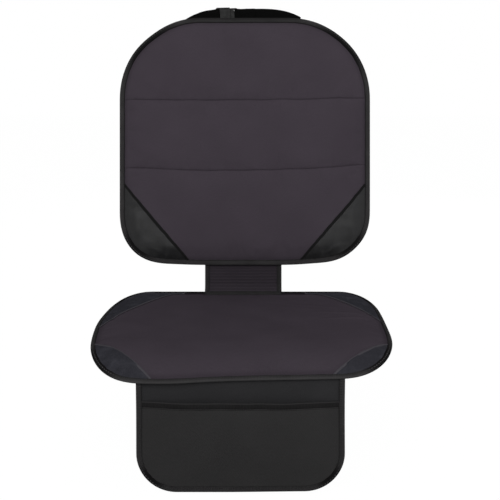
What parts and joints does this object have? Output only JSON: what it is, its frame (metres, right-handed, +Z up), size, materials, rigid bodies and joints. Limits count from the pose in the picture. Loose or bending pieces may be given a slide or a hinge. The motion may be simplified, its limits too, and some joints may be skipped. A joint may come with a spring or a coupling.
{
  "type": "car seat protector mat",
  "caption": "Padded mat that covers a car seat's cushion and backrest, with leatherette corners, a pocket flap under its front edge and a buckled headrest strap.",
  "frame": {"origin": "middle of the flat stretch of the seat panel's underside, where it lies on the vehicle seat", "axes": "+Z up out of the seat panel, -Y towards the front edge and the pocket flap, +X to the right as the mat is seen from the front; the back panel leans back towards +Y"},
  "size_m": [0.475, 0.5853, 0.725],
  "materials": {
    "padded_fabric": "matt woven polyester with a faint plum cast",
    "foam": "open-cell foam sheet",
    "grip_lining": "knitted lining with small rubber grip dots",
    "binding_tape": "folded woven tape, fine cross ribs",
    "leatherette": "black grained leatherette with a soft sheen",
    "connector_fabric": "gathered woven polyester",
    "flap_fabric": "plain woven polyester",
    "pocket_fabric": "plain woven polyester with a fine open weave",
    "webbing": "black ribbed webbing",
    "buckle_plastic": "satin moulded plastic"
  },
  "bodies": {
    "root": {"back_face_fabric": "padded_fabric", "back_foam": "foam", "back_lining": "grip_lining", "back_binding": "binding_tape", "back_patch_left": "leatherette", "back_patch_right": "leatherette", "back_patch_trim_left": "binding_tape", "back_patch_trim_right": "binding_tape", "buckle_plug": "buckle_plastic", "buckle_socket": "buckle_plastic", "connector_binding_left": "binding_tape", "connector_binding_right": "binding_tape", "connector_hem": "binding_tape", "connector_panel": "connector_fabric", "flap_binding": "binding_tape", "flap_panel": "flap_fabric", "flap_pocket": "pocket_fabric", "pocket_hem": "binding_tape", "seat_binding": "binding_tape", "seat_face_fabric": "padded_fabric", "seat_foam": "foam", "seat_front_patch_left": "leatherette", "seat_front_patch_right": "leatherette", "seat_front_patch_trim_left": "binding_tape", "seat_front_patch_trim_right": "binding_tape", "seat_grip_backing": "grip_lining", "seat_rear_patch_left": "leatherette", "seat_rear_patch_right": "leatherette", "seat_rear_patch_trim_left": "binding_tape", "seat_rear_patch_trim_right": "binding_tape", "strap_left": "webbing", "strap_right": "webbing"}
  },
  "joints": []
}
